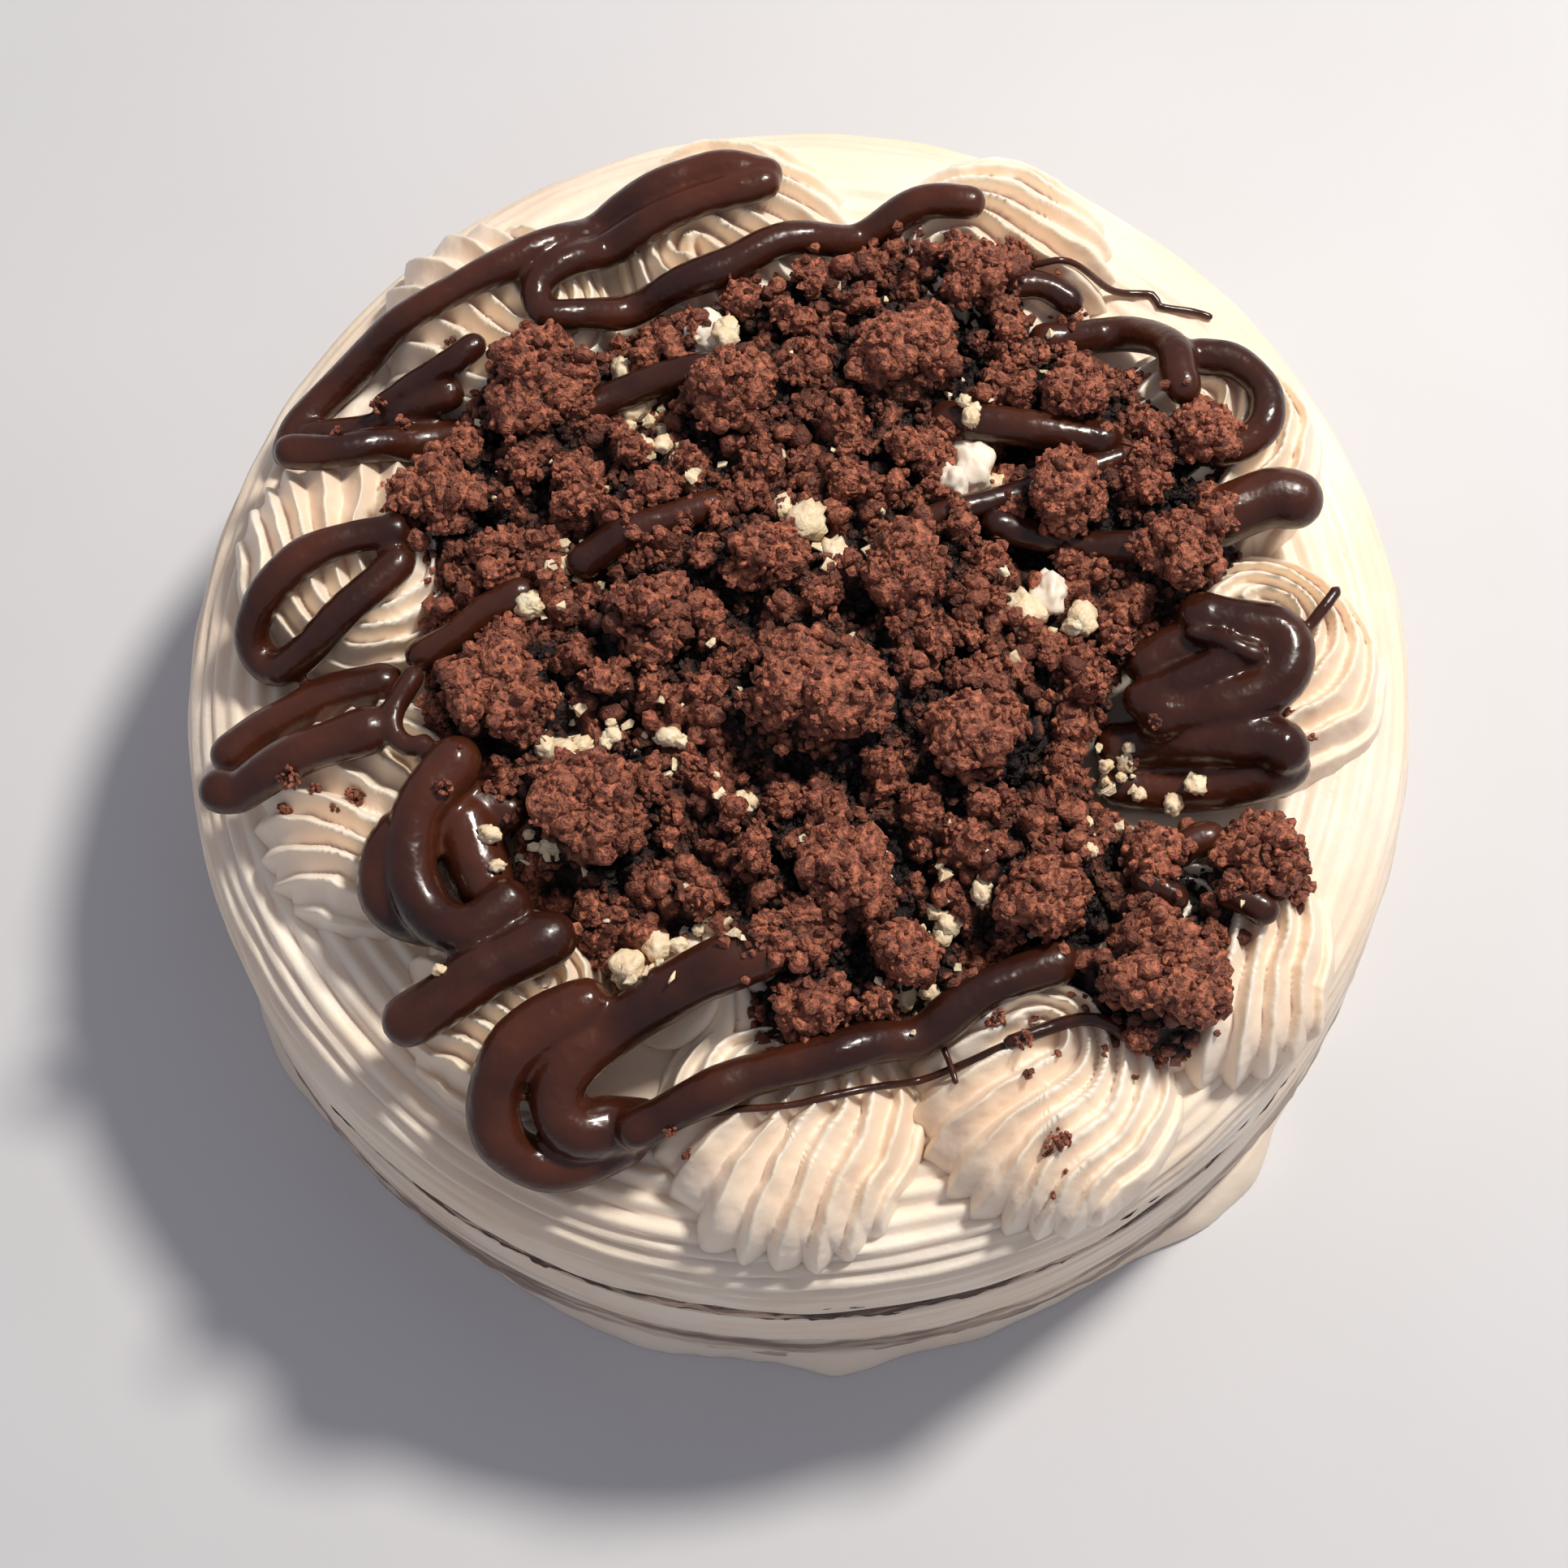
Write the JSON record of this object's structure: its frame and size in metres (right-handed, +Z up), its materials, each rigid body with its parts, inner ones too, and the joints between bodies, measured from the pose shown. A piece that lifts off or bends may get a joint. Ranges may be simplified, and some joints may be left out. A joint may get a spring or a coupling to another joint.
{
  "type": "layer cake",
  "caption": "Round layer cake with scraped cream sides, sponge showing between the cream, piped rosettes, ropes of chocolate ganache and a heap of cake crumble with chopped nuts.",
  "frame": {"origin": "centre of the flat underside of the cake", "axes": "+Z up through the cake, -Y towards the front, +X to the right seen from the front"},
  "size_m": [0.2038, 0.2081, 0.0941],
  "materials": {
    "cream": "satin whipped coffee cream",
    "sponge": "matt dark chocolate sponge",
    "coated_sponge": "sponge under a thin scraped coat of cream",
    "crumble": "matt moist chocolate cake crumbs",
    "ganache": "glossy dark chocolate ganache",
    "nut": "pale chopped nuts"
  },
  "bodies": {
    "root": {"cream_foot": "cream", "sponge_lower": "coated_sponge", "cream_filling": "cream", "sponge_upper": "sponge", "cream_top": "cream", "crumble_heap": "crumble"}
  },
  "joints": []
}
